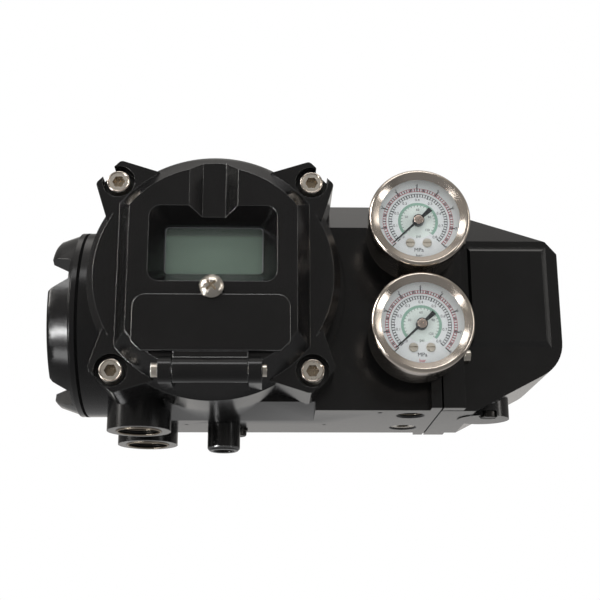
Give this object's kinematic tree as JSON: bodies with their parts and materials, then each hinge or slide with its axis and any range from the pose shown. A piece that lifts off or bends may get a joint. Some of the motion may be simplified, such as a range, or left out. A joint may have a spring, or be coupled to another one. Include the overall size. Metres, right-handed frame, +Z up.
{
  "type": "valve positioner",
  "caption": "Electro-pneumatic valve positioner with a round display cover, hinged button flap, screwed terminal cap, pressure gauges, air manifold and a rear feedback shaft.",
  "frame": {"origin": "centre of the rear mounting holes, on the feedback shaft's axis at the rear mounting face", "axes": "+X to the right seen from the front, +Y backwards out of the mounting face, +Z up"},
  "size_m": [0.2297, 0.1391, 0.1225],
  "materials": {
    "black_paint": "satin powder coat",
    "steel": "nickel plated",
    "polished_steel": "polished",
    "glass": "clear",
    "display": "liquid crystal display, off",
    "dial_white": "printed scale",
    "rubber": "moulded",
    "board_green": "moulded or laminated",
    "black_plastic": "moulded",
    "pointer_black": "matt",
    "brass": "machined",
    "aluminium": "machined",
    "copper": "wound enamelled wire"
  },
  "bodies": {
    "body": {"housing": "black_paint", "manifold_block": "black_paint", "main_cover": "black_paint", "main_cover_seal": "rubber", "cover_screws": "steel", "display_window": "glass", "display_module": "display", "main_board": "board_green", "board_spacers": "steel", "board_screws": "steel", "key_switches": "black_plastic", "hinge_pin": "steel", "hinge_pin_clip": "steel", "terminal_block": "board_green", "terminal_screws": "steel", "earth_screw": "steel", "exhaust_vent": "black_plastic", "pilot_cover": "black_paint", "pilot_cover_gasket": "rubber", "pilot_cover_screws": "steel", "pilot_valve_body": "aluminium", "torque_motor": "steel", "torque_motor_coil": "copper", "shaft_bush": "brass", "potentiometer": "black_plastic", "potentiometer_bracket": "steel", "port_plug": "steel", "dial_screws": "steel", "upper_gauge_case": "polished_steel", "upper_gauge_bezel": "polished_steel", "upper_gauge_lens": "glass", "upper_gauge_dial": "dial_white", "upper_gauge_socket": "brass", "upper_gauge_tube": "brass", "lower_gauge_case": "polished_steel", "lower_gauge_bezel": "polished_steel", "lower_gauge_lens": "glass", "lower_gauge_dial": "dial_white", "lower_gauge_socket": "brass", "lower_gauge_tube": "brass"},
    "flap": {"button_cover": "black_paint"},
    "flap_screw": {"button_cover_screw": "steel"},
    "button_1": {"button_1": "black_plastic"},
    "button_2": {"button_2": "black_plastic"},
    "button_3": {"button_3": "black_plastic"},
    "button_4": {"button_4": "black_plastic"},
    "cap_carrier": {"terminal_cap_seal": "rubber"},
    "cap": {"terminal_cap": "black_paint"},
    "shaft": {"feedback_shaft": "steel", "shaft_gear": "brass", "shaft_clip": "steel"},
    "potentiometer_shaft": {"potentiometer_gear": "brass"},
    "upper_pointer": {"upper_pointer": "pointer_black", "upper_pinion": "brass"},
    "upper_sector": {"upper_sector": "brass"},
    "lower_pointer": {"lower_pointer": "pointer_black", "lower_pinion": "brass"},
    "lower_sector": {"lower_sector": "brass"},
    "spool": {"pilot_spool": "steel"},
    "auto_manual": {"auto_manual_screw": "steel"}
  },
  "joints": [
    {"name": "flap_hinge", "type": "hinge", "parent": "body", "child": "flap", "pos_m": [0, -0.1115, -0.045], "axis": [1, 0, 0], "range_deg": [0, 165]},
    {"name": "flap_screw_turn", "type": "hinge", "parent": "flap", "child": "flap_screw", "pos_m": [0, -0.1129, -0.0097], "axis": [0, 1, 0], "continuous": true},
    {"name": "button_1_press", "type": "slide", "parent": "body", "child": "button_1", "axis": [0, 1, 0], "range_m": [0, 0.0012], "stiffness_N_per_m": 400},
    {"name": "button_2_press", "type": "slide", "parent": "body", "child": "button_2", "axis": [0, 1, 0], "range_m": [0, 0.0012], "stiffness_N_per_m": 400},
    {"name": "button_3_press", "type": "slide", "parent": "body", "child": "button_3", "axis": [0, 1, 0], "range_m": [0, 0.0012], "stiffness_N_per_m": 400},
    {"name": "button_4_press", "type": "slide", "parent": "body", "child": "button_4", "axis": [0, 1, 0], "range_m": [0, 0.0012], "stiffness_N_per_m": 400},
    {"name": "cap_travel", "type": "slide", "parent": "body", "child": "cap_carrier", "axis": [-1, 0, 0], "range_m": [0, 0.0102]},
    {"name": "cap_turn", "type": "hinge", "parent": "cap_carrier", "child": "cap", "pos_m": [-0.065, -0.0441, -0.0084], "axis": [-1, 0, 0], "range_deg": [0, 1800]},
    {"name": "shaft_turn", "type": "hinge", "parent": "body", "child": "shaft", "pos_m": [0, 0, 0], "axis": [0, 1, 0], "range_deg": [-45, 45]},
    {"name": "potentiometer_turn", "type": "hinge", "parent": "body", "child": "potentiometer_shaft", "pos_m": [0.016, -0.035, 0], "axis": [0, 1, 0], "range_deg": [-136, 136]},
    {"name": "upper_sector_turn", "type": "hinge", "parent": "body", "child": "upper_sector", "pos_m": [0.0877, -0.106, 0.0059], "axis": [0, 1, 0], "range_deg": [-45, 0]},
    {"name": "upper_pointer_turn", "type": "hinge", "parent": "body", "child": "upper_pointer", "pos_m": [0.0877, -0.106, 0.0206], "axis": [0, 1, 0], "range_deg": [0, 270.5]},
    {"name": "lower_sector_turn", "type": "hinge", "parent": "body", "child": "lower_sector", "pos_m": [0.0877, -0.106, -0.0399], "axis": [0, 1, 0], "range_deg": [-45, 0]},
    {"name": "lower_pointer_turn", "type": "hinge", "parent": "body", "child": "lower_pointer", "pos_m": [0.0877, -0.106, -0.0252], "axis": [0, 1, 0], "range_deg": [0, 270.5]},
    {"name": "spool_slide", "type": "slide", "parent": "body", "child": "spool", "axis": [0, 0, 1], "range_m": [-0.0006, 0.0006], "stiffness_N_per_m": 2000},
    {"name": "auto_manual_turn", "type": "hinge", "parent": "body", "child": "auto_manual", "pos_m": [0.1228, -0.0636, -0.0545], "axis": [0, 0, 1], "range_deg": [0, 90]}
  ],
  "couplings": [
    {"joint": "cap_travel", "follows": "cap_turn", "m_per_rad": 0.00031831},
    {"joint": "potentiometer_turn", "follows": "shaft_turn", "ratio": -3},
    {"joint": "upper_pointer_turn", "follows": "upper_sector_turn", "ratio": -6},
    {"joint": "lower_pointer_turn", "follows": "lower_sector_turn", "ratio": -6}
  ]
}
